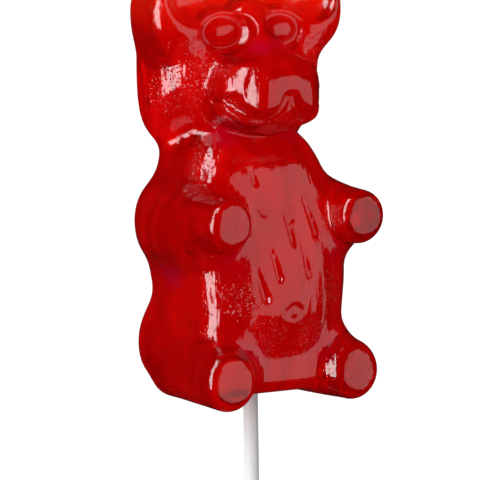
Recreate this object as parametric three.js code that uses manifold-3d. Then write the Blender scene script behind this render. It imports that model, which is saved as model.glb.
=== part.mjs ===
// A gummy bear lollipop: a chunky jelly bear, moulded with a flat back, on a round plastic stick.
//
// Frame: the bear lies on its flat back, which is the plane Z = 0, and looks up along +Z. Its head points
// along +Y and its left side along +X. The origin is the middle of the flat back. The stick runs along Y,
// goes in between the legs and ends inside the chest.
//
// The bear is described by a distance function: egg shapes and posts that melt into one another. The zero
// surface of that function is turned into triangles on a grid, then the back is cut flat and the hole for
// the stick is cut out.

import * as THREE from 'three'
import * as BufferGeometryUtils from 'three/addons/utils/BufferGeometryUtils.js'
import Module from 'manifold-3d'

const wasm = await Module()
wasm.setup()

// ---------------------------------------------------------------- driving dimensions, mm

const BEAR_HEIGHT = 114.3 // about from the soles to the ear tops: four and a half inches
const STICK_DIAMETER = 4
const STICK_LENGTH = 150
const STICK_IN_BEAR = 50 // from the crotch up to the stick's buried end
const STICK_GAP = 0.3 // between the stick and the wall of its hole
const STICK_SIDES = 24

// The bear's proportions are in hundredths of its height, so that one number resizes the whole bear.
const HUNDREDTH = BEAR_HEIGHT / 100

// Every place is [across, along, up]; what has a twin gives the one on the bear's left. An egg of power 2 is
// an ellipsoid, and a higher power makes it boxier. A melt is the width in which two surfaces flow together.
// A flat is a plane that cuts a form down: the direction it faces and how far it is from the origin.
const TORSO = {
  chest: { centre: [0, -6, -1.5], radii: [21.4, 18.5, 23.8], power: 2.9 },
  belly: { centre: [0, -26, 9.7], radii: [20.4, 15.2, 17.2], power: 2.7 },
  paunch: { centre: [0, -26, 9.7], radii: [19.5, 13, 18.3], power: 2 },
  lap: { centre: [0, -38.3, 7.5], radii: [15, 9.8, 16.6], power: 6 },
  bellyRoll: { root: [13.3, -15, 15], end: [13.3, -34, 15], radius: 6.2 },
  collarRoll: { root: [9.2, 6, 10.4], end: [10.8, -5, 12.6], radius: 6 },
  melt: 14.5,
  lapMelt: 3.5,
  rollMelt: 3,
  paunchMelt: 2.5,
}
const LEG = {
  hip: { centre: [16.5, -35.8, 2.6], radii: [9.4, 10.1, 8.5], power: 2.2 },
  shin: { root: [16.3, -36.3, -2], end: [17.2, -43, 27], radii: [7.6, 5.9] },
  foot: { root: [16.6, -43, 8], end: [17.5, -43.9, 28.7], radii: [6.3, 6.7] },
  hipMelt: 3,
  footMelt: 1.5,
  bodyMelt: 5.5,
}
const ARM = {
  shoulder: { centre: [15.2, -9.8, 10.3], radii: [13.2, 8.6, 13.3], power: 2.3 },
  paw: { root: [19.1, -5.6, 6], end: [18.3, -8.1, 30.7], radii: [6.3, 6.3] },
  shoulderMelt: 4,
  bodyMelt: 4,
}
const LIMB_END_ROUNDING = 3
const HEAD = {
  skull: { centre: [0, 28.5, -8.1], radii: [27.8, 23, 26.9], power: 2 },
  jowls: { centre: [0, 21, -6], radii: [27.2, 20.5, 15], power: 2 },
  cheekFlat: { facing: [0.914, 0, 0.407], away: 23.4 },
  jowlMelt: 6,
  cheekMelt: 2.5,
}
const NECK_MELT = 4.9
const EAR = {
  shell: { centre: [19.1, 40, 6], radii: [8.4, 10.2, 8.6], power: 2.2 },
  browFlat: { facing: [0, 0.5, 0.866], away: 27.6 },
  browStart: 20, // the brow leans back above this
  bowl: { centre: [15.8, 43.8, 17.6], radii: [8.6, 7.6, 10], power: 2 },
  headMelt: 3.8,
  browMelt: 2.5,
  rimMelt: 1.6,
}
const MUZZLE = {
  snout: { centre: [0, 21.8, 16.3], radii: [13.6, 8.8, 11], power: 2.6 },
  lip: { centre: [5.8, 20.6, 21.4], radii: [6.2, 5.6, 6], power: 2 },
  bridge: { root: [0, 23, 19], end: [0, 37, 9.5], radius: 6 },
  flankFlat: { facing: [0.755, 0.06, 0.653], away: 24.8 },
  chin: { centre: [0, 15.4, 18.4], radii: [6.3, 4, 5.2], power: 2 },
  nose: { centre: [0, 24.4, 26], radii: [4.2, 2, 2], power: 2 },
  lipMelt: 4,
  bridgeMelt: 5,
  flankMelt: 1.6,
  headMelt: 3,
  chinMelt: 2.6,
  noseMelt: 1.8,
}
const EYE = {
  lid: { centre: [8, 35, 9], radii: [7.4, 5.8, 6.4], power: 2 },
  button: { centre: [8.1, 35.4, 9.8], radii: [5.5, 3.7, 3.8], power: 2 },
  lidMelt: 1.5,
  buttonMelt: 0.5,
}
const NAVEL = { dimple: { centre: [0, -28.9, 28.7], radii: [1.9, 1.9, 1.6], power: 2 }, melt: 0.8 }
const BACK = { below: 0.4, melt: 2.6 } // the sides curl in towards a plane a little below the cut
const STICK_UP = 9.2 // height of the stick's axis over the back
const CROTCH = -47 // where the stick goes in between the legs

// ---------------------------------------------------------------- distance functions

// Roughly how far a point is from an egg-shaped body; negative inside.
function egg(point, { centre, radii, power }) {
  const shares = point.map((value, i) => Math.abs((value - centre[i]) / radii[i]))
  const size = shares.reduce((sum, share) => sum + share ** power, 0) ** (1 / power)
  if (size < 1e-6) return -Math.min(...radii)
  const slopes = shares.map((share, i) => (share / size) ** (power - 1) / radii[i])
  return (size - 1) / Math.hypot(...slopes)
}

// A round post that runs from root to end, with a radius at each, and stops in a flat end with a rounded edge.
function post(point, { root, end, radii }, rounding) {
  const axis = end.map((value, i) => value - root[i])
  const reach = Math.hypot(...axis)
  const offset = point.map((value, i) => value - root[i])
  const along = offset.reduce((sum, value, i) => sum + (value * axis[i]) / reach, 0)
  const across = Math.hypot(...offset.map((value, i) => value - (along * axis[i]) / reach))
  const share = Math.min(Math.max(along / reach, 0), 1)
  const radius = radii[0] + (radii[1] - radii[0]) * share
  const side = across - (radius - rounding)
  const cap = along - (reach - rounding)
  return Math.hypot(Math.max(side, 0), Math.max(cap, 0)) + Math.min(Math.max(side, cap), 0) - rounding
}

// A round bar with round ends.
function bar(point, { root, end, radius }) {
  const axis = end.map((value, i) => value - root[i])
  const offset = point.map((value, i) => value - root[i])
  const reachSquared = axis.reduce((sum, value) => sum + value * value, 0)
  const along = offset.reduce((sum, value, i) => sum + value * axis[i], 0) / reachSquared
  const share = Math.min(Math.max(along, 0), 1)
  return Math.hypot(...offset.map((value, i) => value - share * axis[i])) - radius
}

// How far a point is outside a flat.
function beyond(point, { facing, away }) {
  return facing.reduce((sum, value, i) => sum + value * point[i], 0) - away
}

// Joins two bodies; within the melt width their surfaces flow into each other.
function melted(a, b, melt) {
  const share = Math.max(melt - Math.abs(a - b), 0) / melt
  return Math.min(a, b) - (share * share * melt) / 4
}

const carved = (body, tool, melt) => -melted(-body, tool, melt)
const common = (a, b, melt) => -melted(-a, -b, melt)

// ---------------------------------------------------------------- the bear's form

function torso(point, twin) {
  let form = melted(egg(point, TORSO.chest), egg(point, TORSO.belly), TORSO.melt)
  form = melted(form, egg(point, TORSO.lap), TORSO.lapMelt)
  form = melted(form, bar(twin, TORSO.bellyRoll), TORSO.rollMelt)
  form = melted(form, bar(twin, TORSO.collarRoll), TORSO.rollMelt)
  return melted(form, egg(point, TORSO.paunch), TORSO.paunchMelt)
}

function leg(twin) {
  const thigh = melted(egg(twin, LEG.hip), post(twin, LEG.shin, LIMB_END_ROUNDING), LEG.hipMelt)
  return melted(thigh, post(twin, LEG.foot, LIMB_END_ROUNDING), LEG.footMelt)
}

function arm(twin) {
  return melted(egg(twin, ARM.shoulder), post(twin, ARM.paw, LIMB_END_ROUNDING), ARM.shoulderMelt)
}

function head(point, twin) {
  const round = melted(egg(point, HEAD.skull), egg(point, HEAD.jowls), HEAD.jowlMelt)
  return common(round, beyond(twin, HEAD.cheekFlat), HEAD.cheekMelt)
}

function withEars(body, point, twin) {
  let form = body
  if (point[1] > EAR.browStart) form = common(form, beyond(point, EAR.browFlat), EAR.browMelt)
  form = melted(form, egg(twin, EAR.shell), EAR.headMelt)
  return carved(form, egg(twin, EAR.bowl), EAR.rimMelt)
}

function withMuzzle(body, point, twin) {
  let muzzle = melted(egg(point, MUZZLE.snout), egg(twin, MUZZLE.lip), MUZZLE.lipMelt)
  muzzle = melted(muzzle, bar(point, MUZZLE.bridge), MUZZLE.bridgeMelt)
  muzzle = common(muzzle, beyond(twin, MUZZLE.flankFlat), MUZZLE.flankMelt)
  const form = melted(body, muzzle, MUZZLE.headMelt)
  return melted(melted(form, egg(point, MUZZLE.chin), MUZZLE.chinMelt), egg(point, MUZZLE.nose), MUZZLE.noseMelt)
}

function withEyes(body, twin) {
  return melted(melted(body, egg(twin, EYE.lid), EYE.lidMelt), egg(twin, EYE.button), EYE.buttonMelt)
}

// Distance to the bear's surface in hundredths of its height.
function bearForm(point) {
  const twin = [Math.abs(point[0]), point[1], point[2]]
  let form = melted(torso(point, twin), leg(twin), LEG.bodyMelt)
  form = melted(form, arm(twin), ARM.bodyMelt)
  form = melted(form, head(point, twin), NECK_MELT)
  form = withEars(form, point, twin)
  form = withMuzzle(form, point, twin)
  form = withEyes(form, twin)
  form = carved(form, egg(point, NAVEL.dimple), NAVEL.melt)
  return common(form, -point[2] - BACK.below, BACK.melt)
}

// ---------------------------------------------------------------- from the form to triangles

// Grid lines from start to stop whose spacing is looked up for each stretch: [end of stretch, spacing].
function gridLines(start, stretches) {
  const lines = [start]
  for (const [stop, spacing] of stretches) {
    const first = lines[lines.length - 1]
    const count = Math.max(1, Math.round((stop - first) / spacing))
    for (let i = 1; i <= count; i++) lines.push(first + ((stop - first) * i) / count)
  }
  return lines
}

// Grid spacings, hundredths of the height: over the body, across the snout, and along the face.
const COARSE = 2.3
const MEDIUM = 1.7
const FINE = 1.5
const GRID = [
  gridLines(-34, [[-14, COARSE], [14, MEDIUM], [34, COARSE]]),
  gridLines(-54, [[10, COARSE], [38, FINE], [54, COARSE]]),
  gridLines(-6, [[0, COARSE], [36, COARSE]]),
]

function gradient(form, point) {
  const step = 0.05
  return [0, 1, 2].map((axis) => {
    const ahead = [...point]
    const behind = [...point]
    ahead[axis] += step
    behind[axis] -= step
    return (form(ahead) - form(behind)) / (2 * step)
  })
}

// Moves a point onto the zero surface along the gradient, never further than `limit`.
function settled(form, start, limit) {
  let point = start
  for (let round = 0; round < 3; round++) {
    const slope = gradient(form, point)
    const steepness = Math.max(slope.reduce((sum, value) => sum + value * value, 0), 0.1)
    const move = slope.map((value) => (-form(point) * value) / steepness)
    const share = Math.min(1, limit / Math.max(Math.hypot(...move), 1e-9))
    point = point.map((value, i) => value + move[i] * share)
  }
  return point
}

// Surface nets: one vertex in each grid cell that the surface crosses, one quad on each edge it crosses.
function surfaceNet(form, [xs, ys, zs]) {
  const [nx, ny, nz] = [xs.length, ys.length, zs.length]
  const at = (i, j, k) => (i * ny + j) * nz + k
  const value = new Float64Array(nx * ny * nz)
  for (let i = 0; i < nx; i++)
    for (let j = 0; j < ny; j++)
      for (let k = 0; k < nz; k++) value[at(i, j, k)] = form([xs[i], ys[j], zs[k]])

  const corners = [0, 1, 2, 3, 4, 5, 6, 7].map((c) => [c & 1, (c >> 1) & 1, (c >> 2) & 1])
  const edges = []
  for (let a = 0; a < 8; a++) for (const bit of [1, 2, 4]) if (!(a & bit)) edges.push([a, a | bit])

  const positions = []
  const vertexOf = new Int32Array(nx * ny * nz).fill(-1)
  for (let i = 0; i < nx - 1; i++)
    for (let j = 0; j < ny - 1; j++)
      for (let k = 0; k < nz - 1; k++) {
        const crossings = []
        for (const [a, b] of edges) {
          const [p, q] = [corners[a], corners[b]]
          const va = value[at(i + p[0], j + p[1], k + p[2])]
          const vb = value[at(i + q[0], j + q[1], k + q[2])]
          if (va < 0 === vb < 0) continue
          const share = va / (va - vb)
          const from = [xs[i + p[0]], ys[j + p[1]], zs[k + p[2]]]
          const to = [xs[i + q[0]], ys[j + q[1]], zs[k + q[2]]]
          crossings.push(from.map((start, axis) => start + (to[axis] - start) * share))
        }
        if (!crossings.length) continue
        const mean = [0, 1, 2].map((axis) => crossings.reduce((sum, c) => sum + c[axis], 0) / crossings.length)
        vertexOf[at(i, j, k)] = positions.length / 3
        positions.push(...settled(form, mean, FINE / 2))
      }

  const triangles = []
  const addQuad = (ring, flip) => {
    const [a, b, c, d] = flip ? [...ring].reverse() : ring
    triangles.push(a, b, c, a, c, d)
  }
  for (let i = 1; i < nx - 1; i++)
    for (let j = 1; j < ny - 1; j++)
      for (let k = 1; k < nz - 1; k++) {
        const inside = value[at(i, j, k)] < 0
        const cell = (di, dj, dk) => vertexOf[at(i - di, j - dj, k - dk)]
        if (inside !== value[at(i + 1, j, k)] < 0)
          addQuad([cell(0, 1, 1), cell(0, 0, 1), cell(0, 0, 0), cell(0, 1, 0)], !inside)
        if (inside !== value[at(i, j + 1, k)] < 0)
          addQuad([cell(1, 0, 1), cell(1, 0, 0), cell(0, 0, 0), cell(0, 0, 1)], !inside)
        if (inside !== value[at(i, j, k + 1)] < 0)
          addQuad([cell(1, 1, 0), cell(0, 1, 0), cell(0, 0, 0), cell(1, 0, 0)], !inside)
      }

  const geometry = new THREE.BufferGeometry()
  geometry.setAttribute('position', new THREE.Float32BufferAttribute(positions, 3))
  geometry.setIndex(triangles)
  return geometry
}

// ---------------------------------------------------------------- solids

function toSolid(geometry) {
  const bare = geometry.clone()
  bare.deleteAttribute('normal')
  bare.deleteAttribute('uv')
  const merged = BufferGeometryUtils.mergeVertices(bare, 1e-4)
  return new wasm.Manifold(
    new wasm.Mesh({
      numProp: 3,
      vertProperties: new Float32Array(merged.attributes.position.array),
      triVerts: new Uint32Array(merged.index.array),
    }),
  )
}

function toGeometry(solid) {
  const mesh = solid.getMesh()
  const geometry = new THREE.BufferGeometry()
  geometry.setAttribute('position', new THREE.BufferAttribute(mesh.vertProperties.slice(), 3))
  geometry.setIndex(new THREE.BufferAttribute(mesh.triVerts.slice(), 1))
  geometry.computeVertexNormals()
  return geometry
}

const stickEntry = CROTCH * HUNDREDTH
const stickTop = stickEntry + STICK_IN_BEAR
const stickHeight = STICK_UP * HUNDREDTH

function bearGeometry() {
  const form = surfaceNet(bearForm, GRID)
  form.scale(HUNDREDTH, HUNDREDTH, HUNDREDTH)

  const slabThickness = 20 // more than the form reaches below the back
  const behindBack = new THREE.BoxGeometry(2 * BEAR_HEIGHT, 2 * BEAR_HEIGHT, slabThickness)
  behindBack.translate(0, 0, -slabThickness / 2)

  const holeStart = -0.6 * BEAR_HEIGHT // clear of the feet
  const holeLength = stickTop + STICK_GAP - holeStart
  const holeRadius = STICK_DIAMETER / 2 + STICK_GAP
  const hole = new THREE.CylinderGeometry(holeRadius, holeRadius, holeLength, STICK_SIDES)
  hole.translate(0, holeStart + holeLength / 2, stickHeight)

  return toGeometry(toSolid(form).subtract(toSolid(behindBack)).subtract(toSolid(hole)))
}

function stickGeometry() {
  const radius = STICK_DIAMETER / 2
  const bevel = 0.3 // of both ends
  const profile = [
    new THREE.Vector2(0, 0),
    new THREE.Vector2(radius - bevel, 0),
    new THREE.Vector2(radius, bevel),
    new THREE.Vector2(radius, STICK_LENGTH - bevel),
    new THREE.Vector2(radius - bevel, STICK_LENGTH),
    new THREE.Vector2(0, STICK_LENGTH),
  ]
  return new THREE.LatheGeometry(profile, STICK_SIDES)
}

// ---------------------------------------------------------------- the part

const jelly = new THREE.MeshStandardMaterial({ color: 0xa80408, roughness: 0.15, metalness: 0 })
const plastic = new THREE.MeshStandardMaterial({ color: 0xe2dfdd, roughness: 0.4, metalness: 0 })

const bear = new THREE.Mesh(bearGeometry(), jelly)
bear.name = 'bear'

const stick = new THREE.Mesh(stickGeometry(), plastic)
stick.name = 'stick'
stick.position.set(0, stickTop - STICK_LENGTH, stickHeight)

const lollipop = new THREE.Group()
lollipop.add(bear, stick)

export default lollipop
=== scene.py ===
# %% [markdown]
# # A red jelly bear on a stick
#
# This lesson builds a large gummy bear lollipop: clear red fruit jelly, poured into a bear-shaped mould with
# a lollipop stick laid in it. There are two pieces, the bear and the stick. Almost all of the look comes from
# three things, and the lesson takes them in turn: a soft, melted-looking form, a jelly that light passes
# through, and two studio lamps whose reflections draw the form's glossy skin.
#
# The sizes come from a plain model of the same sweet, the frame, which is loaded first. One unit, a hundredth
# of the bear's height, is worked out from it, and everything on the bear is measured in that unit.

import math

import bmesh
import bpy
import numpy as np
import openvdb
from mathutils import Matrix, Vector


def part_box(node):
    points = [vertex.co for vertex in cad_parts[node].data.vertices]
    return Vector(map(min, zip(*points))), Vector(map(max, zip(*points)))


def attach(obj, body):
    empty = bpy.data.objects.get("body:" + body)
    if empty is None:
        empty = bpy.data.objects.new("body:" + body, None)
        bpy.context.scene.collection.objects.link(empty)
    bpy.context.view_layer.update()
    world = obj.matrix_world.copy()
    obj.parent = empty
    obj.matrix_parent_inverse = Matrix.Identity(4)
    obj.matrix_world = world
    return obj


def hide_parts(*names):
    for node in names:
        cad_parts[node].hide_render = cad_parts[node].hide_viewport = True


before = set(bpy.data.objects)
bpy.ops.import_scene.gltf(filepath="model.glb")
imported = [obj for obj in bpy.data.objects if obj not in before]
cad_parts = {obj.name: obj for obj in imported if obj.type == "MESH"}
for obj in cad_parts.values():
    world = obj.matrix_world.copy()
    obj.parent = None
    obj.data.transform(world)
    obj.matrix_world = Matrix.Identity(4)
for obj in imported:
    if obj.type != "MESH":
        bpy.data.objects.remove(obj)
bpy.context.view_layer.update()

bear_low, bear_high = (np.array(corner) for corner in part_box("bear"))
stick_low, stick_high = (np.array(corner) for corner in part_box("stick"))
UNITS_TALL = 100.58  # the form below, from the soles to the ear tops
unit = (bear_high[1] - bear_low[1]) / UNITS_TALL
print("one unit is", round(1000 * unit, 3), "mm")

# %% [markdown]
# ## The form, written as a distance
#
# A moulded sweet has no sharp edges: every limb flows into the body. Sculpting that by hand takes skill, and
# joining spheres with a Boolean leaves creases. A distance function does it well. For any point in space it
# says how far away the surface is, negative inside, and two bodies are melted together by a smooth minimum:
# wherever both are about equally near, the result is pulled out into a fillet of a chosen width.
#
# The functions take a whole array of points at once, because numpy is fast at that and slow at loops.

# %% Shapes and how they join
LIMB_END_ROUNDING = 3


def length(vectors):
    return np.sqrt((vectors * vectors).sum(-1))


def egg(points, centre, radii, power=2.0):
    """An ellipsoid for power 2, boxier for more. The distance is close to true near the surface."""
    shares = np.abs((points - np.array(centre, points.dtype)) / np.array(radii, points.dtype)) + 1e-6
    size = (shares**power).sum(-1) ** (1 / power)
    slopes = (shares / size[..., None]) ** (power - 1) / np.array(radii, points.dtype)
    return (size - 1) / length(slopes)


def post(points, root, end, radii):
    """A round post with a radius at each end. Its end is flat with a rounded rim, its root runs on."""
    root = np.array(root, points.dtype)
    axis = np.array(end, points.dtype) - root
    reach = np.sqrt(axis @ axis)
    axis /= reach
    along = (points - root) @ axis
    across = length(points - root - along[..., None] * axis)
    radius = radii[0] + (radii[1] - radii[0]) * np.clip(along / reach, 0, 1)
    side = across - (radius - LIMB_END_ROUNDING)
    cap = along - (reach - LIMB_END_ROUNDING)
    beyond = np.hypot(np.maximum(side, 0), np.maximum(cap, 0))
    return beyond + np.minimum(np.maximum(side, cap), 0) - LIMB_END_ROUNDING


def bar(points, start, end, radius):
    """A round bar with round ends."""
    start = np.array(start, points.dtype)
    axis = np.array(end, points.dtype) - start
    share = np.clip((points - start) @ axis / (axis @ axis), 0, 1)
    return length(points - start - share[..., None] * axis) - radius


def melted(a, b, melt):
    """Joins two bodies whose surfaces flow into each other over the melt width."""
    share = np.maximum(melt - np.abs(a - b), 0) / melt
    return np.minimum(a, b) - share * share * melt / 4


def carved(body, tool, melt):
    return -melted(-body, tool, melt)


def common(a, b, melt):
    return -melted(-a, -b, melt)


def front(body, across, along):
    """How high the front of a body stands over one place on the back."""
    heights = np.arange(0, 40, 0.01)
    points = np.stack((np.full(heights.shape, across), np.full(heights.shape, along), heights), -1)
    return round(float(heights[body(points) < 0].max()), 1)


print("a ball of radius 2 reaches", front(lambda points: egg(points, (0, 0, 0), (2, 2, 2)), 0, 0), "up")

# %% [markdown]
# ## The body and limbs
#
# The bear lies on its back: X is across it, Y runs up to its head and Z comes out of its front. It is the
# same on both sides, so anything that comes in a pair is measured from `twins`, the same points with X made
# positive. A barrel of a belly carries the chest and a rounder paunch, a square lap closes it below, and a
# roll of fur down each side of the belly and the collar gives the lamps an edge to draw. Each limb is a bulge
# at the hip or shoulder with a stubby post pointing straight up at us.
#
# Every place is (across, along, up) in units, and a power above 2 makes an egg boxier.

# %% Torso, legs and arms
TORSO_MELT = 14.5
LAP_MELT = 3.5
ROLL_MELT = 3
PAUNCH_MELT = 2.5
HIP_MELT = 3
FOOT_MELT = 1.5
PAW_MELT = 4


def torso(points, twins):
    chest = egg(points, (0, -6, -1.5), (21.4, 18.5, 23.8), 2.9)
    belly = egg(points, (0, -26, 9.7), (20.4, 15.2, 17.2), 2.7)
    paunch = egg(points, (0, -26, 9.7), (19.5, 13, 18.3))
    lap = egg(points, (0, -38.3, 7.5), (15, 9.8, 16.6), 6)
    belly_roll = bar(twins, (13.3, -15, 15), (13.3, -34, 15), 6.2)
    collar_roll = bar(twins, (9.2, 6, 10.4), (10.8, -5, 12.6), 6)
    body = melted(melted(chest, belly, TORSO_MELT), lap, LAP_MELT)
    body = melted(melted(body, belly_roll, ROLL_MELT), collar_roll, ROLL_MELT)
    return melted(body, paunch, PAUNCH_MELT)


def leg(twins):
    hip = egg(twins, (16.5, -35.8, 2.6), (9.4, 10.1, 8.5), 2.2)
    shin = post(twins, (16.3, -36.3, -2), (17.2, -43, 27), (7.6, 5.9))
    foot = post(twins, (16.6, -43, 8), (17.5, -43.9, 28.7), (6.3, 6.7))
    return melted(melted(hip, shin, HIP_MELT), foot, FOOT_MELT)


def arm(twins):
    shoulder = egg(twins, (15.2, -9.8, 10.3), (13.2, 8.6, 13.3), 2.3)
    paw = post(twins, (19.1, -5.6, 6), (18.3, -8.1, 30.7), (6.3, 6.3))
    return melted(shoulder, paw, PAW_MELT)


print("the belly stands", front(lambda points: torso(points, points), 0, -26), "units up,")
print("a foot", front(leg, 17.5, -43.9), "and a paw", front(arm, 18.3, -8.1))

# %% [markdown]
# ## The head and ears
#
# The head is a big egg with heavy jowls. A mould-maker also uses flats, and so does this head: `above` says
# how far a point is outside a plane, and cutting with it planes the cheeks and leans the forehead back. The
# ears are cupped, a thick shell with a bowl pressed into it. They join the head after the forehead is cut,
# because that cut would pare them down to thin wedges.

# %% Head and ears
JOWL_MELT = 6
CHEEK_PLANE = ((0.914, 0, 0.407), 23.4)  # the way it faces, and how far out it is
BROW_PLANE = ((0, 0.5, 0.866), 27.6)
PLANE_MELT = 2.5
BROW_START = 20  # the forehead's plane cuts nothing below this
EAR_MELT = 3.8
BOWL_MELT = 1.6


def above(points, facing, away):
    """How far a point is outside a plane that faces one way, some distance from the origin."""
    return points @ np.array(facing, points.dtype) - away


def head(points, twins):
    skull = egg(points, (0, 28.5, -8.1), (27.8, 23, 26.9))
    jowls = egg(points, (0, 21, -6), (27.2, 20.5, 15))
    return common(melted(skull, jowls, JOWL_MELT), above(twins, *CHEEK_PLANE), PLANE_MELT)


def with_ears(body, points, twins):
    leaning_back = common(body, above(points, *BROW_PLANE), PLANE_MELT)
    body = np.where(points[..., 1] > BROW_START, leaning_back, body)
    body = melted(body, egg(twins, (19.1, 40, 6), (8.4, 10.2, 8.6), 2.2), EAR_MELT)
    return carved(body, egg(twins, (15.8, 43.8, 17.6), (8.6, 7.6, 10)), BOWL_MELT)


print("the head stands", front(lambda points: head(points, points), 0, 28), "units up")

# %% [markdown]
# ## The face
#
# The muzzle is built up in layers, snout first, then two round lips, the bridge of the nose, the chin and a
# small wide nose, each melted in over a short distance so the small shapes stay readable. The mouth is two
# smile lines pressed in under the nose. Each eye is a raised lid with an oval socket in it and a low rounded
# button in that, the way eyes are cut in a mould that the jelly has to let go of.

# %% Muzzle, mouth and eyes
LIP_MELT = 4
BRIDGE_MELT = 5
FLANK_PLANE = ((0.755, 0.06, 0.653), 24.8)
FLANK_MELT = 1.6
MUZZLE_MELT = 3
CHIN_MELT = 2.6
NOSE_MELT = 1.8
MOUTH_CENTRE = (6.5, 22.0)
MOUTH_RADIUS = 5.8
MOUTH_DROP = 1.4  # the smile's ends are this far below its centre
MOUTH_GROOVE = 1.2
MOUTH_MELT = 0.6
FACE_FRONT = 12  # the mouth is pressed in above this height only
LID_MELT = 1.5
SOCKET_MELT = 1
BUTTON_MELT = 0.5


def with_muzzle(body, points, twins):
    snout = egg(points, (0, 21.8, 16.3), (13.6, 8.8, 11), 2.6)
    lips = egg(twins, (5.8, 20.6, 21.4), (6.2, 5.6, 6))
    bridge = bar(points, (0, 23, 19), (0, 37, 9.5), 6)
    muzzle = melted(melted(snout, lips, LIP_MELT), bridge, BRIDGE_MELT)
    muzzle = common(muzzle, above(twins, *FLANK_PLANE), FLANK_MELT)
    chin = egg(points, (0, 15.4, 18.4), (6.3, 4, 5.2))
    nose = egg(points, (0, 24.4, 26), (4.2, 2, 2))
    return melted(melted(melted(body, muzzle, MUZZLE_MELT), chin, CHIN_MELT), nose, NOSE_MELT)


def with_mouth(body, points, twins):
    """Presses a half-round smile line into each side of the muzzle, as deep as half its width."""
    across = twins[..., 0] - MOUTH_CENTRE[0]
    along = twins[..., 1] - MOUTH_CENTRE[1]
    on_arc = np.abs(np.hypot(across, along) - MOUTH_RADIUS)
    half_width = math.sqrt(MOUTH_RADIUS**2 - MOUTH_DROP**2)
    past_ends = np.hypot(np.abs(across) - half_width, along + MOUTH_DROP)
    to_line = np.where(along < -MOUTH_DROP, on_arc, past_ends)
    groove = np.hypot(to_line, body) - MOUTH_GROOVE
    return np.where(points[..., 2] > FACE_FRONT, carved(body, groove, MOUTH_MELT), body)


def with_eyes(body, twins):
    body = melted(body, egg(twins, (8, 35, 9), (7.4, 5.8, 6.4)), LID_MELT)
    body = carved(body, egg(twins, (8, 35.4, 14.4), (7, 5, 4.2)), SOCKET_MELT)
    return melted(body, egg(twins, (8.1, 35.4, 9.8), (5.5, 3.7, 3.8)), BUTTON_MELT)


print("the nose stands", front(lambda points: with_muzzle(head(points, points), points, points), 0, 24.4))

# %% [markdown]
# ## Tufts of fur and the navel
#
# The belly carries a few tufts of fur: grooves that start as a hair line and widen downwards like a drop.
# Each is a line on the front of the bear with a width at its lower end, and the same carving as the mouth's
# presses it in. They are scattered one by one, because a mould is cut by hand and no two tufts are alike. The
# navel is a little ring-shaped groove round a button.

# %% Tufts and navel
TUFT_MELT = 0.5
BELLY_FRONT = 15  # tufts are pressed in above this height only
NAVEL_CENTRE = (0, -28.9, 28.2)
NAVEL_RADIUS = 1.5
NAVEL_GROOVE = 0.6
NAVEL_MELT = 0.8
TUFTS = (  # top, bottom and width, seen from the front
    ((-5.6, -12.0), (-3.8, -21.0), 0.75),
    ((0.4, -4.6), (1.2, -13.4), 0.55),
    ((3.2, -1.7), (2.0, -8.0), 0.3),
    ((6.6, -2.6), (8.2, -11.6), 0.6),
    ((3.1, -11.4), (4.4, -20.6), 0.65),
    ((-9.8, -17.6), (-7.4, -25.4), 0.95),
    ((-6.9, 4.6), (-6.0, 0.6), 0.6),
    ((-7.0, -3.0), (-5.2, -6.4), 0.4),
)


def with_tufts(body, points):
    for top, bottom, width in TUFTS:
        axis = np.array(bottom) - top
        share = np.clip((points[..., :2] - top) @ axis / (axis @ axis), 0, 1)
        across = length(points[..., :2] - top - share[..., None] * axis)
        groove = np.hypot(across, body) - width * np.sqrt(share)
        body = np.where(points[..., 2] > BELLY_FRONT, carved(body, groove, TUFT_MELT), body)
    return body


def with_navel(body, points):
    offset = points - np.array(NAVEL_CENTRE, points.dtype)
    from_ring = np.hypot(offset[..., 0], offset[..., 1]) - NAVEL_RADIUS
    groove = np.hypot(from_ring, offset[..., 2]) - NAVEL_GROOVE
    return carved(body, groove, NAVEL_MELT)


print(len(TUFTS), "tufts, the longest", round(max(math.dist(top, bottom) for top, bottom, _ in TUFTS), 1))

# %% [markdown]
# ## The whole bear
#
# The jelly is poured into an open mould, so the back is the flat surface of the pour. Its edge is a little
# rounded, where the liquid jelly crept up the side of the mould. The order of the steps matters: the small
# shapes come last, so that nothing melts over them.

# %% The whole bear with its flat back
LEG_MELT = 5.5
ARM_MELT = 4
NECK_MELT = 4.9
BACK_MELT = 2.6


def bear_distance(points):
    twins = points.copy()
    twins[..., 0] = np.abs(twins[..., 0])
    body = melted(torso(points, twins), leg(twins), LEG_MELT)
    body = melted(body, arm(twins), ARM_MELT)
    body = melted(body, head(points, twins), NECK_MELT)
    body = with_ears(body, points, twins)
    body = with_muzzle(body, points, twins)
    body = with_mouth(body, points, twins)
    body = with_eyes(body, twins)
    body = with_navel(body, points)
    body = with_tufts(body, points)
    return common(body, -points[..., 2], BACK_MELT)


print("over the navel the bear is", front(bear_distance, 0, NAVEL_CENTRE[1]), "units thick")

# %% [markdown]
# ## From distance to mesh
#
# The distance is sampled on a grid and OpenVDB, the library behind Blender's volumes, skins the grid with
# quads where it changes sign. The quads' corners are a little off, so each is then moved onto the true
# surface: the gradient says which way the surface lies and the distance says how far.

# %% Sample the form and settle the corners
GRID_STEP = 0.62
GRID_LOW = np.array((-31.0, -53.0, -3.0))
GRID_HIGH = np.array((31.0, 53.0, 34.0))
SLAB = 16  # the grid is filled this many layers at a time
SETTLING_PASSES = 2
LEAST_SLOPE = 0.05  # keeps a corner still where the distance hardly changes


def sampled(distance):
    counts = np.ceil((GRID_HIGH - GRID_LOW) / GRID_STEP).astype(int)
    lines = [GRID_LOW[axis] + GRID_STEP * np.arange(counts[axis]) for axis in range(3)]
    values = np.empty(counts, np.float32)
    for start in range(0, counts[0], SLAB):
        block = np.stack(np.meshgrid(lines[0][start : start + SLAB], lines[1], lines[2], indexing="ij"), -1)
        values[start : start + SLAB] = distance(block.astype(np.float32))
    return values


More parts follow.
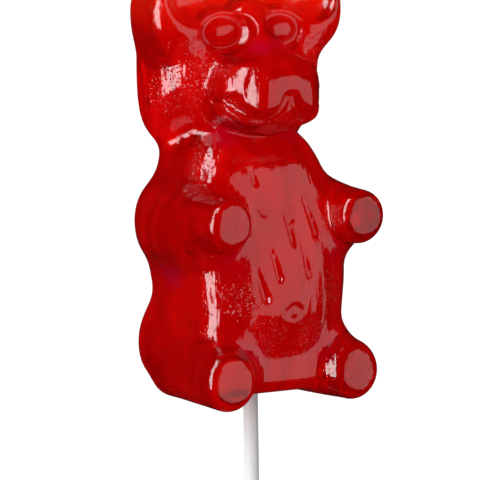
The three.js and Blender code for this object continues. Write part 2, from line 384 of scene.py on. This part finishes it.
def gradient(distance, points, step=0.05):
    sides = []
    for axis in range(3):
        offset = np.eye(3)[axis] * step
        sides.append((distance(points + offset) - distance(points - offset)) / (2 * step))
    return np.stack(sides, -1)


def settled(distance, points):
    for _ in range(SETTLING_PASSES):
        slope = gradient(distance, points)
        steepness = np.maximum((slope * slope).sum(-1, keepdims=True), LEAST_SLOPE)
        move = -distance(points)[:, None] * slope / steepness
        too_far = length(move)[:, None] / (GRID_STEP / 2)
        points = points + move / np.maximum(too_far, 1)
    return points


print("grid step", round(1000 * unit * GRID_STEP, 2), "mm")

# %% Skin the form
values = sampled(bear_distance)
grid = openvdb.FloatGrid(float(values.max()))
grid.copyFromArray(values)
corners, quads = grid.convertToQuads(isovalue=0.0)
corners = settled(bear_distance, np.array(corners, float) * GRID_STEP + GRID_LOW)

bear_mesh = bpy.data.meshes.new("bear")
bear_mesh.from_pydata((corners * unit).tolist(), [], np.array(quads)[:, ::-1].tolist())
bear_mesh.polygons.foreach_set("use_smooth", [True] * len(bear_mesh.polygons))
repair = bmesh.new()
repair.from_mesh(bear_mesh)
bmesh.ops.recalc_face_normals(repair, faces=repair.faces)
print("jelly volume", round(repair.calc_volume() * 1e6, 1), "cubic cm in", len(repair.faces), "quads")
repair.to_mesh(bear_mesh)
repair.free()

# %% [markdown]
# ## Grit and painted reflection in the folds
#
# In some places the jelly's skin is pitted by tiny bubbles and grains of starch: on the cheeks, round the
# mouth, at the collar and low on the belly. The folds get a painted reflection: a cooler magenta put into the
# colour where the soft box is mirrored in the creases. Both are marked on the mesh as a number per corner, 1
# in the middle of a patch and 0 outside, and the material reads these numbers later. Storing them on the mesh
# is much simpler than rebuilding the same patches out of shader nodes.

# %% Mark the gritty patches and the folds with painted reflection
GRITTY = (  # middle and reach of each patch
    ((19.5, 22, 10), 7.5),
    ((15.5, 26, 15), 6),
    ((17, 31, 14), 5),
    ((11, 18, 21), 4.5),
    ((12, 26, 20), 3),
    ((16.5, 5, 14.5), 4.5),
    ((12.3, -25, 25.7), 6),
    ((5.5, -33.8, 25.9), 5),
    ((12, -9, 25), 4),
)
# folds where a pinkish reflection of the soft box is painted into the colour
REFLECTION_PATCHES = (
    ((12, -15.5, 21), 7),
    ((9, 11, 13), 5),
    ((10, -37, 22), 6),
    ((21, -19, 11), 5),
    ((3, 31, 20), 4),
)
PATCH_FADE = 1.6  # higher keeps a patch full further out from its middle


def mark(name, patches):
    """Stores how deep each corner is in the patches, which are given for one side and hold for both."""
    mirrored = np.abs(corners) * (1, 0, 0) + corners * (0, 1, 1)
    depth = np.zeros(len(corners))
    for middle, reach in patches:
        inwards = 1 - length(mirrored - middle) / reach
        depth = np.maximum(depth, np.clip(PATCH_FADE * inwards, 0, 1))
    bear_mesh.attributes.new(name, "FLOAT", "POINT").data.foreach_set("value", depth.astype(np.float32))
    print(name, "marks", int((depth > 0).sum()), "of", len(depth), "corners")


mark("grit", GRITTY)
mark("fold_reflection", REFLECTION_PATCHES)

bear = bpy.data.objects.new("jelly_bear", bear_mesh)
bpy.context.scene.collection.objects.link(bear)
print("size in mm", (1000 * unit * (corners.max(0) - corners.min(0))).round(1))

# %% [markdown]
# ## The stick
#
# The stick is a plain round plastic rod, cut to length, with its ends just broken. It is turned like a table
# leg: a profile of radii along its length, then one ring of corners per step of the profile, joined to the
# next ring by quads. A cylinder with a Bevel modifier would do as well. Turning it keeps the ends exact.

# %% The stick's profile
EDGE_STEPS = 6
EDGE_SHARE = 0.2  # of the radius
stick_radius = (stick_high[0] - stick_low[0]) / 2
stick_edge = EDGE_SHARE * stick_radius
stick_length = stick_high[1] - stick_low[1]

profile = [(0.0, 0.0)]
for step in range(EDGE_STEPS + 1):
    angle = math.radians(90 * step / EDGE_STEPS)
    out_by = stick_edge * (1 - math.sin(angle))
    profile.append((stick_radius - out_by, stick_edge * (1 - math.cos(angle))))
profile += [(radius, stick_length - along) for radius, along in reversed(profile)]
print("profile of", len(profile), "points for a stick", round(2000 * stick_radius, 2), "mm thick")

# %% Turn the stick
STICK_SIDES = 48
turned = bmesh.new()
rings = []
for radius, along in profile:
    if radius == 0:
        rings.append([turned.verts.new((0, along, 0))])
        continue
    ring = []
    for side in range(STICK_SIDES):
        turn = 2 * math.pi * side / STICK_SIDES
        ring.append(turned.verts.new((radius * math.cos(turn), along, radius * math.sin(turn))))
    rings.append(ring)
for lower, upper in zip(rings, rings[1:]):
    for side in range(STICK_SIDES):
        after = (side + 1) % STICK_SIDES
        near = [lower[side % len(lower)], lower[after % len(lower)]]
        far = [upper[after % len(upper)], upper[side % len(upper)]]
        turned.faces.new(list(dict.fromkeys(near + far)))
bmesh.ops.recalc_face_normals(turned, faces=turned.faces)
stick_mesh = bpy.data.meshes.new("stick")
turned.to_mesh(stick_mesh)
turned.free()
stick_mesh.polygons.foreach_set("use_smooth", [True] * len(stick_mesh.polygons))
stick = bpy.data.objects.new("lollipop_stick", stick_mesh)
stick.location = (0, stick_low[1], (stick_low[2] + stick_high[2]) / 2)
bpy.context.scene.collection.objects.link(stick)
print("stick", round(1000 * stick_length, 1), "mm long,", len(stick_mesh.polygons), "faces")

# %% [markdown]
# ## Sums with shader wires
#
# A material is a tree of nodes joined by wires. Written out node by node, even a short sum takes a dozen
# lines. `Wire` wraps a node's output so that ordinary sums such as `1 - mask` add the Math nodes by
# themselves. Any other node is added by `node`, with its settings first and its inputs after.

# %% A wire that does sums


class Wire:
    """A shader socket in a node tree. Sums of wires and numbers add Math nodes to the tree."""

    def __init__(self, tree, socket=None):
        self.tree = tree
        self.socket = socket

    def node(self, kind, settings=None, inputs=None, output=0):
        made = self.tree.nodes.new(kind)
        for name, value in (settings or {}).items():
            setattr(made, name, value)
        for name, value in (inputs or {}).items():
            if isinstance(value, Wire):
                self.tree.links.new(value.socket, made.inputs[name])
            else:
                made.inputs[name].default_value = value
        return Wire(self.tree, made.outputs[output])

    def math(self, operation, first, second=0.0):
        return self.node("ShaderNodeMath", {"operation": operation}, {0: first, 1: second})

    def __add__(self, other):
        return self.math("ADD", self, other)

    def __mul__(self, other):
        return self.math("MULTIPLY", self, other)

    def __sub__(self, other):
        return self.math("SUBTRACT", self, other)

    def __rsub__(self, other):
        return self.math("SUBTRACT", other, self)

    __radd__ = __add__
    __rmul__ = __mul__

    def ramp(self, low, high):
        """0 below low, 1 above high, smooth between."""
        inputs = {"Value": self, "From Min": low, "From Max": high}
        return self.node("ShaderNodeMapRange", {"interpolation_type": "SMOOTHSTEP"}, inputs)

    def between(self, first, second):
        """Mixes two colours: first at 0, second at 1."""
        return self.node("ShaderNodeMix", {"data_type": "RGBA"}, {0: self, 6: first, 7: second}, output=2)


def new_material(name, **plain):
    """A material with plain values on its Principled shader, and that shader."""
    material = bpy.data.materials.new(name)
    material.use_nodes = True
    shader = material.node_tree.nodes["Principled BSDF"]
    for socket, value in plain.items():
        shader.inputs[socket.replace("_", " ")].default_value = value
    return material, shader


# %% [markdown]
# ## The jelly
#
# Fruit jelly is clear, but never perfectly: light enters it, is tinted and is scattered a little by pulp and
# starch. Glass alone would show the floor through the bear like a lens, and plain subsurface scattering
# would look like wax. So the two are mixed, three parts glass to one part scattering, and a volume inside
# the bear absorbs green and blue. Thin places such as the ears then come out bright, and thick ones deep.

# %% The jelly's body
PASSED_BY_JELLY = (0.84, 0.05, 0.02, 1)
ABSORBED_PER_METRE = 100
jelly, shader = new_material(
    "jelly",
    Roughness=0.05,
    IOR=1.48,
    Transmission_Weight=0.75,
    Subsurface_Weight=1.0,
    Subsurface_Radius=(1.0, 0.05, 0.03),
    Subsurface_Scale=0.012,
)
tree = jelly.node_tree
wire = Wire(tree)
absorb = wire.node(
    "ShaderNodeVolumeAbsorption", None, {"Color": PASSED_BY_JELLY, "Density": ABSORBED_PER_METRE}
)
tree.links.new(absorb.socket, tree.nodes["Material Output"].inputs["Volume"])
bear.data.materials.append(jelly)
print("clear jelly on", bear.name)

# %% [markdown]
# ## The jelly's colour
#
# The colour is not even either. It runs in faint streaks along the bear and pales in the gritty patches.
# Towards the thin ears it is painted brighter and warmer, a painted glow of the light that passes through
# them, and the folds carry a painted magenta reflection. Each of these is one mix of two colours, and the
# mixes are laid one over another like washes of paint, with a mask that says where each wash shows.

# %% Streaks, painted glow, painted fold reflection and grit
DEEP_RED = (0.60, 0.0004, 0.0008, 1)
BRIGHT_RED = (0.80, 0.004, 0.003, 1)
# painted glow: the light that passes through the thin ears, painted into the colour
GLOW_RED = (0.98, 0.020, 0.004, 1)
PALE_PINK = (0.80, 0.09, 0.10, 1)
# painted reflection in the folds, a cooler magenta
REFLECTION_MAGENTA = (0.66, 0.001, 0.05, 1)
GLOW_START, GLOW_END = 34, 46  # along the bear, from its eyes to its ears
REFLECTION_SHARE = 0.8
GRIT_SHARE = 0.06
place = wire.node("ShaderNodeTexCoord", output=3)
in_units = place.node("ShaderNodeVectorMath", {"operation": "SCALE"}, {0: place, "Scale": 1 / unit})
along_bear = in_units.node("ShaderNodeSeparateXYZ", None, {0: in_units}, output=1)
gritty = wire.node("ShaderNodeAttribute", {"attribute_name": "grit"}, output=2)
fold_reflection_mask = wire.node("ShaderNodeAttribute", {"attribute_name": "fold_reflection"}, output=2)


def noise(point, scale, detail=2.0):
    return point.node("ShaderNodeTexNoise", None, {"Vector": point, "Scale": scale, "Detail": detail})


def stretched(point, factors):
    """A texture read at these points is drawn out along an axis by a factor below 1."""
    return point.node("ShaderNodeVectorMath", {"operation": "MULTIPLY"}, {0: point, 1: factors})


streaks = noise(stretched(in_units, (1.0, 0.12, 1.0)), 0.22, 3.0).ramp(0.35, 0.7)
streaky_red = streaks.between(DEEP_RED, BRIGHT_RED)
# paints the glow of light through the thin ears, from the eyes upwards
with_glow = along_bear.ramp(GLOW_START, GLOW_END).between(streaky_red, GLOW_RED)
# paints the reflection in the folds over the colour
with_fold_reflection = (fold_reflection_mask * REFLECTION_SHARE).between(with_glow, REFLECTION_MAGENTA)
colour = (gritty * GRIT_SHARE).between(with_fold_reflection, PALE_PINK)
tree.links.new(colour.socket, shader.inputs["Base Color"])
print("with its colour the jelly has", len(tree.nodes), "nodes")

# %% [markdown]
# ## The jelly's skin
#
# The skin is what the lamps draw. It is smooth and wet, with three kinds of relief: a slow swell, since jelly
# shrinks unevenly as it sets, long shallow waves down the body, left by the mould-maker's fur strokes, and in
# the gritty patches a scatter of fine pimples, each with its own glint. All three are shallow, and the
# pimples are finer than the mesh, so they aren't modelled. They are heights, added up and fed to a Bump
# node, which tilts the reflections as real relief would.

# %% Swell, waves and pimples
PIMPLE_HEIGHT = 0.1  # this and the next two are in units
WAVE_HEIGHT = 0.3
SWELL_HEIGHT = 0.9
STRAY_GRIT = 0.2  # there are faint pimples everywhere
SMALL_PIMPLES = 0.5  # the finer scatter is this much lower


def pimples(point, scale):
    """A scatter of round dots, 1 in their middles and 0 between them."""
    return 1 - point.node("ShaderNodeTexVoronoi", None, {"Vector": point, "Scale": scale}).ramp(0.12, 0.34)


grit = pimples(in_units, 1.0) + pimples(in_units, 1.8) * SMALL_PIMPLES
waves = noise(stretched(in_units, (1.0, 0.16, 1.0)), 0.34)
swell = noise(stretched(in_units, (1.0, 0.5, 1.0)), 0.13, 1.0)
relief = grit * (gritty + STRAY_GRIT) * PIMPLE_HEIGHT + waves * WAVE_HEIGHT + swell * SWELL_HEIGHT
bump = wire.node("ShaderNodeBump", None, {"Height": relief, "Distance": unit, "Strength": 1.0})
tree.links.new(bump.socket, shader.inputs["Normal"])
print("with its skin the jelly has", len(tree.nodes), "nodes")

# %% [markdown]
# ## The stick's plastic
#
# White polypropylene, drawn as a rod: a satin surface with very fine lines along it. Its roughness wavers
# slightly with the lines, which is enough to keep it from looking like painted metal.

# %% The stick's material
SATIN = 0.45
SATIN_WAVER = 0.2
LINES_PER_RADIUS = 3
plastic, shader = new_material("stick plastic", Base_Color=(0.68, 0.69, 0.69, 1))
wire = Wire(plastic.node_tree)
place = wire.node("ShaderNodeTexCoord", output=3)
lines = noise(stretched(place, (1.0, 0.02, 1.0)), LINES_PER_RADIUS / stick_radius)
plastic.node_tree.links.new((lines * SATIN_WAVER + SATIN).socket, shader.inputs["Roughness"])
stick.data.materials.append(plastic)
print("the plastic has", len(plastic.node_tree.nodes), "nodes")

# %% [markdown]
# ## The light table and the studio
#
# The sweet lies on a light table: a white sheet that shines evenly from below. That gives the clean white
# ground and sends light up through the jelly. The table is hidden from reflections, or its white would fog
# the bear's sides, and the stick is hidden from light that passes through the jelly, since its buried end
# would show as a black bar.
#
# The world is white to the camera, so that the ground has no edge, and almost black to everything else, so
# that only the lamps are reflected in the skin.

# %% Light table and world
TABLE_SIZE = 4
TABLE_DEPTH = 0.0002  # just under the bear
TABLE_RADIANCE = 1.12
bpy.ops.mesh.primitive_plane_add(size=TABLE_SIZE, location=(0, 0, -TABLE_DEPTH))
table = bpy.context.object
table.name = "light_table"
glow = bpy.data.materials.new("light table")
glow.use_nodes = True
glow.node_tree.nodes.remove(glow.node_tree.nodes["Principled BSDF"])
shine = Wire(glow.node_tree).node("ShaderNodeEmission", None, {"Strength": TABLE_RADIANCE})
glow.node_tree.links.new(shine.socket, glow.node_tree.nodes["Material Output"].inputs["Surface"])
table.data.materials.append(glow)
table.visible_glossy = False
stick.visible_transmission = False

WORLD_DIM = 0.005
world = bpy.data.worlds.new("studio")
bpy.context.scene.world = world
world.use_nodes = True
background = world.node_tree.nodes["Background"]
background.inputs["Color"].default_value = (1, 1, 1, 1)
seen_by_camera = Wire(world.node_tree).node("ShaderNodeLightPath")
strength = seen_by_camera * (1 - WORLD_DIM) + WORLD_DIM
world.node_tree.links.new(strength.socket, background.inputs["Strength"])
print("light table", TABLE_SIZE, "m wide,", 1000 * TABLE_DEPTH, "mm under the bear")

# %% [markdown]
# ## Two lamps
#
# A glossy thing shows its form by what it reflects. A large soft box in front gives the wide pink patches on
# everything that faces forward: belly, paws, soles and muzzle. A tall narrow window at the bear's right side
# gives the thin bright lines down the belly's edge and the crescents round each paw and foot. Their
# directions are given by how far round the bear's length they stand, and how high towards its head.

# %% Soft box and window


def direction(around, towards_head):
    """Points at a lamp, by two angles from straight above the bear."""
    around, towards_head = math.radians(around), math.radians(towards_head)
    level = math.cos(towards_head)
    return Vector((math.sin(around) * level, math.sin(towards_head), math.cos(around) * level))


def lamp(name, place, size, radiance):
    """A flat lamp that faces the bear with its long side along the bear's length."""
    light = bpy.data.lights.new(name, "AREA")
    light.shape = "RECTANGLE"
    light.size, light.size_y = size
    light.energy = radiance * math.pi * light.size * light.size_y
    made = bpy.data.objects.new(name, light)
    middle_of_bear = Vector((0, 0, (bear_low[2] + bear_high[2]) / 2))
    back = (place - middle_of_bear).normalized()
    right = Vector((0, 1, 0)).cross(back).normalized()
    turned_to_bear = Matrix((right, back.cross(right), back)).transposed().to_4x4()
    made.matrix_world = Matrix.Translation(place) @ turned_to_bear
    bpy.context.scene.collection.objects.link(made)
    print(name, round(light.energy, 2), "watts,", round(place.length, 2), "m away")


lamp("soft box", place=direction(28, 4) * 0.7, size=(0.90, 0.90), radiance=1.3)
lamp("window", place=direction(-66, 23) * 0.8, size=(0.25, 1.62), radiance=11)

# %% [markdown]
# ## The camera
#
# The bear lies on its back, so the camera looks down on it, turned to its right side and hardly above its
# middle. It is a long lens from about a metre away, which keeps the near and far sides almost parallel, and
# it is close enough that the ear tops run out of view. Its distance, its height and the point that it looks
# at are measured in bear heights.

# %% Camera
CAMERA_AWAY = 9.189
CAMERA_TOWARDS_HEAD = 0.7033
CAMERA_TURN = math.radians(34.09)
CAMERA_ROLL = math.radians(-0.94)
AIM = (0.0404, -0.1411, 0)
LENS = 297  # millimetres, like the sensor
SENSOR = 36
bear_height = bear_high[1] - bear_low[1]
away = CAMERA_AWAY * bear_height
towards_head = CAMERA_TOWARDS_HEAD * bear_height
eye = Vector((-math.sin(CAMERA_TURN) * away, towards_head, math.cos(CAMERA_TURN) * away))
forward = (Vector(AIM) * bear_height - eye).normalized()
right = forward.cross(Vector((0, 1, 0))).normalized()
roll = Matrix.Rotation(CAMERA_ROLL, 3, "Z")
facing = Matrix((right, right.cross(forward), -forward)).transposed() @ roll
camera_data = bpy.data.cameras.new("camera")
camera_data.lens = LENS
camera_data.sensor_width = SENSOR
camera_data.clip_start = 0.01
camera = bpy.data.objects.new("camera", camera_data)
camera.matrix_world = Matrix.Translation(eye) @ facing.to_4x4()
bpy.context.scene.collection.objects.link(camera)
bpy.context.scene.camera = camera
bpy.context.scene.view_settings.view_transform = "Standard"
print("camera", round(away, 3), "m away")

# %% [markdown]
# ## Putting the pieces in place
#
# Each piece is attached to the root of the frame and takes the place of the part that it stands for, which is
# hidden.

# %% Finish
for piece, node, slot in ((bear, "bear", "jelly"), (stick, "stick", "stick_plastic")):
    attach(piece, "root")
    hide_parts(node)
